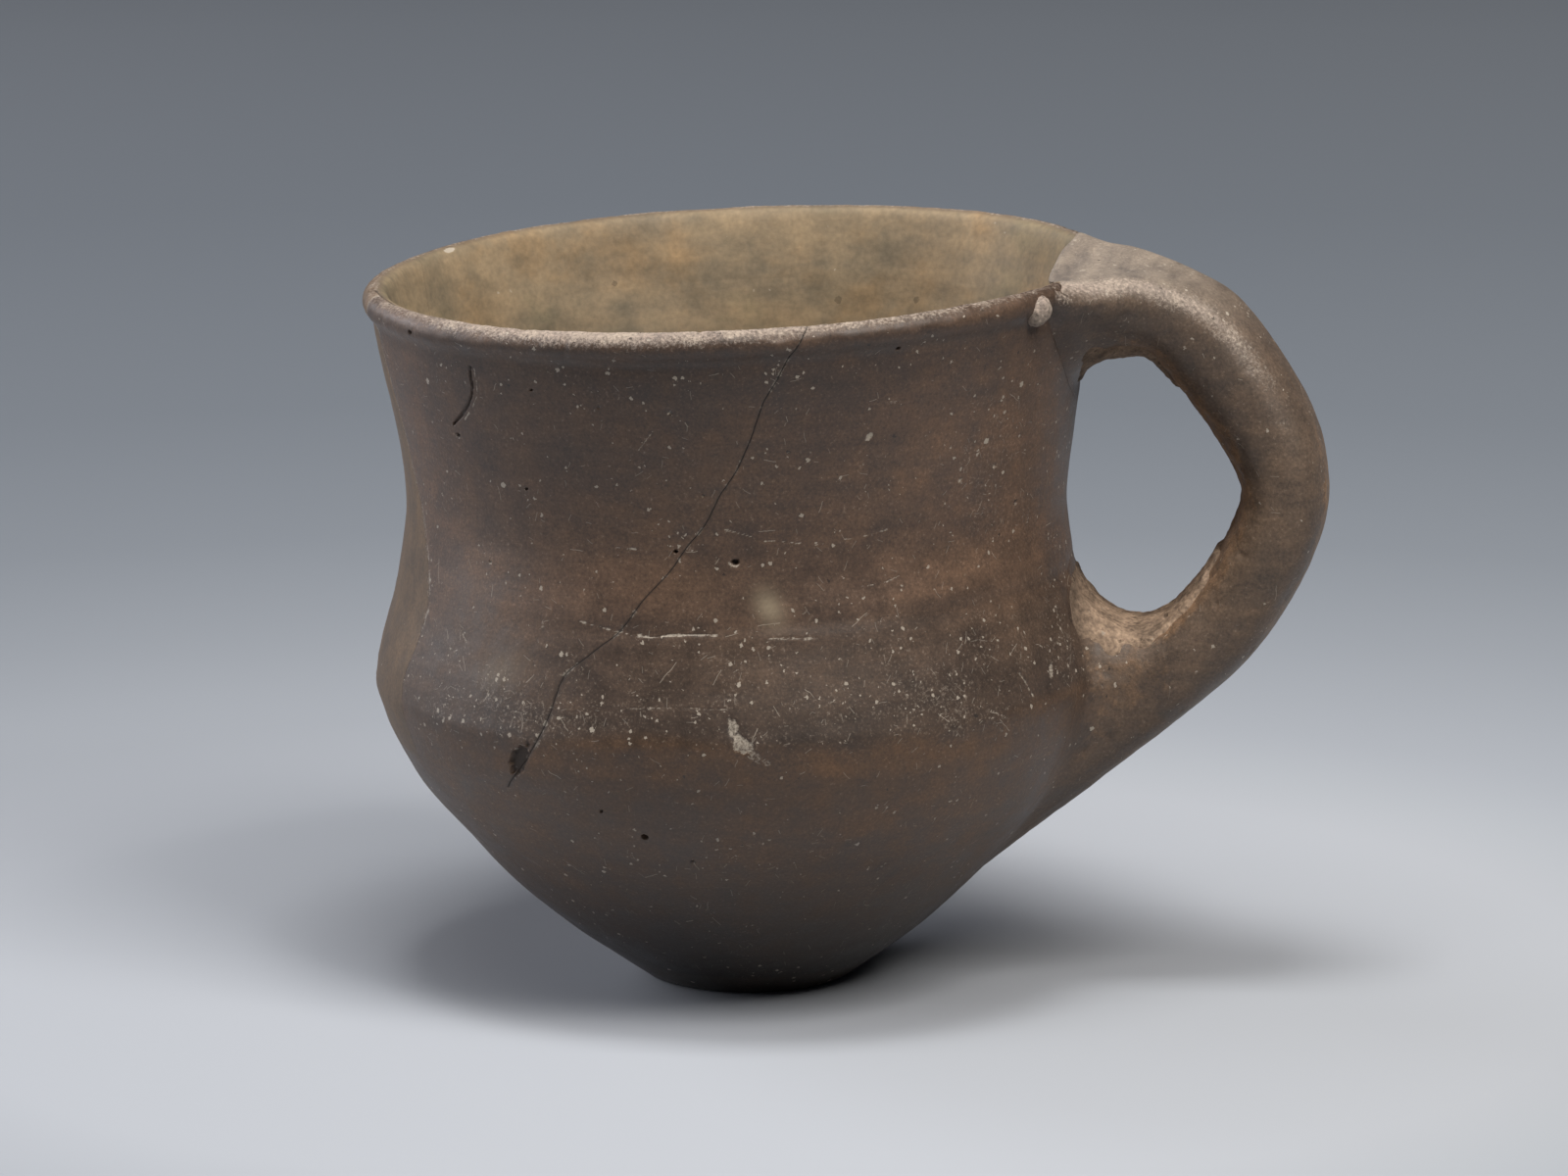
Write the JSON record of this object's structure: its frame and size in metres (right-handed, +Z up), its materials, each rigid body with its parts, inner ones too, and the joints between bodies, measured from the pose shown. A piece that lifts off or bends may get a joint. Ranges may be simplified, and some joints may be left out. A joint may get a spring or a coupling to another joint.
{
  "type": "strainer cup",
  "caption": "Hand-built burnished earthenware cup with a pierced floor, a rolled rim, a rounded belly over a conical base, a strap handle from rim to belly, and a mended break.",
  "frame": {"origin": "middle of the flat foot, on the surface that the cup stands on", "axes": "+Z up, +X from the middle of the cup towards the handle"},
  "size_m": [0.1447, 0.1118, 0.1105],
  "materials": {
    "burnished_earthenware": "burnished grey-brown, semi-matt",
    "dark_belly_earthenware": "burnished dark brown, worn and speckled",
    "cone_earthenware": "burnished brown, satin",
    "worn_rim_earthenware": "worn to pale grit",
    "handle_earthenware": "rubbed grey-brown, semi-matt",
    "rough_clay": "unburnished, rough",
    "toned_fill": "smooth matt restoration fill"
  },
  "bodies": {
    "root": {"strainer_floor": "cone_earthenware", "lower_bowl": "cone_earthenware", "belly_band": "dark_belly_earthenware", "neck_wall": "burnished_earthenware", "rim_roll": "worn_rim_earthenware", "front_sherd": "burnished_earthenware", "restored_panel": "toned_fill", "handle_strap": "handle_earthenware", "lower_luting_wad": "rough_clay", "upper_luting_wad": "rough_clay", "rim_pellet": "worn_rim_earthenware"}
  },
  "joints": []
}
